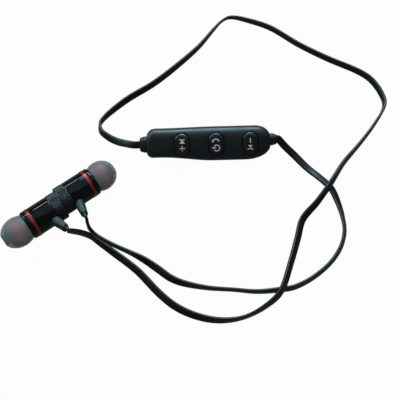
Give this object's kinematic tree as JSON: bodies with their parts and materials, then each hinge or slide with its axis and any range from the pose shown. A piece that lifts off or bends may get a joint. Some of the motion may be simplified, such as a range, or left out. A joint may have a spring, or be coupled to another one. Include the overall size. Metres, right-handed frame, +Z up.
{
  "type": "magnetic in-ear earphones",
  "caption": "In-ear earphones whose metal buds join back to back by magnets, on a flat cord with an in-line control box carrying capsule-shaped buttons.",
  "frame": {"origin": "on the table, under the middle of the control box and buds as they lie, cords left out", "axes": "+X along the control box towards its right end, +Y away from the viewer, +Z up from the table"},
  "size_m": [0.1612, 0.1481, 0.0127],
  "materials": {
    "box_plastic": "satin, black",
    "button_plastic": "satin, black, with white printed marks",
    "switch_plunger": "moulded",
    "switch_metal": "stamped",
    "board": "green solder mask",
    "chip": "matt moulding",
    "can_metal": "plated",
    "battery_foil": "laminated foil",
    "microphone_can": "gold plated",
    "cord_rubber": "smooth, flexible",
    "boot_rubber": "matt, flexible",
    "tip_silicone": "translucent silicone",
    "gloss_black": "high gloss lacquer",
    "mesh_steel": "woven",
    "red_ring": "anodised red",
    "collar_metal": "fine knurl, black",
    "magnet_nickel": "nickel plated",
    "diaphragm_film": "thin film",
    "coil_wire": "enamelled copper"
  },
  "bodies": {
    "control_box": {"upper_shell": "box_plastic", "lower_shell": "box_plastic", "switches": "switch_metal", "circuit_board": "board", "radio_chip": "chip", "crystal": "can_metal", "battery": "battery_foil", "charging_socket": "can_metal", "socket_tongue": "chip", "microphone": "microphone_can", "left_gland": "cord_rubber", "right_gland": "cord_rubber", "long_cord": "cord_rubber", "short_cord": "cord_rubber"},
    "next_key": {"next_button": "button_plastic", "next_plunger": "switch_plunger"},
    "power_key": {"power_button": "button_plastic", "power_plunger": "switch_plunger"},
    "previous_key": {"previous_button": "button_plastic", "previous_plunger": "switch_plunger"},
    "left_bud": {"left_front_cap": "gloss_black", "left_nozzle_mesh": "mesh_steel", "left_ring": "red_ring", "left_barrel": "gloss_black", "left_rear_collar": "collar_metal", "left_coupling_magnet": "magnet_nickel", "left_driver_frame": "chip", "left_driver_yoke": "can_metal", "left_driver_magnet": "magnet_nickel", "left_pole_plate": "can_metal", "left_boot": "boot_rubber"},
    "right_bud": {"right_front_cap": "gloss_black", "right_nozzle_mesh": "mesh_steel", "right_ring": "red_ring", "right_barrel": "gloss_black", "right_rear_collar": "collar_metal", "right_coupling_magnet": "magnet_nickel", "right_driver_frame": "chip", "right_driver_yoke": "can_metal", "right_driver_magnet": "magnet_nickel", "right_pole_plate": "can_metal", "right_boot": "boot_rubber"},
    "left_tip": {"left_ear_tip": "tip_silicone"},
    "right_tip": {"right_ear_tip": "tip_silicone"},
    "left_cone": {"left_diaphragm": "diaphragm_film", "left_voice_coil": "coil_wire"},
    "right_cone": {"right_diaphragm": "diaphragm_film", "right_voice_coil": "coil_wire"}
  },
  "joints": [
    {"name": "next_press", "type": "slide", "parent": "control_box", "child": "next_key", "axis": [0, 0.6293, -0.7771], "range_m": [0, 0.00035], "stiffness_N_per_m": 1200},
    {"name": "power_press", "type": "slide", "parent": "control_box", "child": "power_key", "axis": [0, 0.6293, -0.7771], "range_m": [0, 0.00035], "stiffness_N_per_m": 1200},
    {"name": "previous_press", "type": "slide", "parent": "control_box", "child": "previous_key", "axis": [0, 0.6293, -0.7771], "range_m": [0, 0.00035], "stiffness_N_per_m": 1200},
    {"name": "left_bud_pull", "type": "slide", "parent": "control_box", "child": "left_bud", "axis": [-0.809, -0.5878, 0], "range_m": [0, 0.012], "deforming": ["long_cord"]},
    {"name": "left_tip_pull", "type": "slide", "parent": "left_bud", "child": "left_tip", "axis": [-0.809, -0.5878, 0], "range_m": [0, 0.0055]},
    {"name": "left_cone_travel", "type": "slide", "parent": "left_bud", "child": "left_cone", "axis": [-0.809, -0.5878, 0], "range_m": [-0.00012, 0.00012], "stiffness_N_per_m": 120},
    {"name": "right_bud_pull", "type": "slide", "parent": "control_box", "child": "right_bud", "axis": [0.809, 0.5878, 0], "range_m": [0, 0.006], "deforming": ["short_cord"]},
    {"name": "right_tip_pull", "type": "slide", "parent": "right_bud", "child": "right_tip", "axis": [0.809, 0.5878, 0], "range_m": [0, 0.0055]},
    {"name": "right_cone_travel", "type": "slide", "parent": "right_bud", "child": "right_cone", "axis": [0.809, 0.5878, 0], "range_m": [-0.00012, 0.00012], "stiffness_N_per_m": 120}
  ]
}
